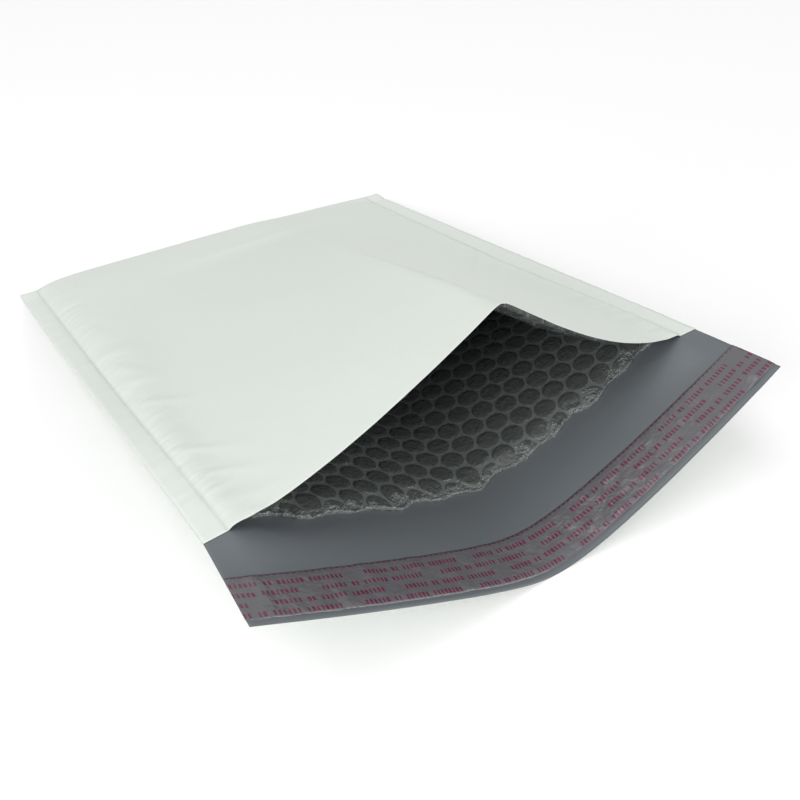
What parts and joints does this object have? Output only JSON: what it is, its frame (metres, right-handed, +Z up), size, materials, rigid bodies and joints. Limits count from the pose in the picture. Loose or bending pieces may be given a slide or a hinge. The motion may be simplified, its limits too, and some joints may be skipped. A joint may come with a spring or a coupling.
{
  "type": "padded envelope",
  "caption": "Padded mailing envelope lying open: a folded film bag with a bubble lining, side seals, and a flap with an adhesive strip under a release liner.",
  "frame": {"origin": "centre of the bounding box in plan, on the table the envelope lies on", "axes": "+Z up, +Y towards the closed end, -Y towards the mouth and the flap, +X to the right seen from the mouth"},
  "size_m": [0.25, 0.3456, 0.0878],
  "materials": {
    "white_film": "satin",
    "dark_bubble_film": "glossy",
    "clear_adhesive": "glossy",
    "release_liner_film": "satin"
  },
  "bodies": {
    "root": {"outer_film": "white_film", "bubble_lining": "dark_bubble_film", "adhesive_strip": "clear_adhesive", "release_liner": "release_liner_film"}
  },
  "joints": []
}
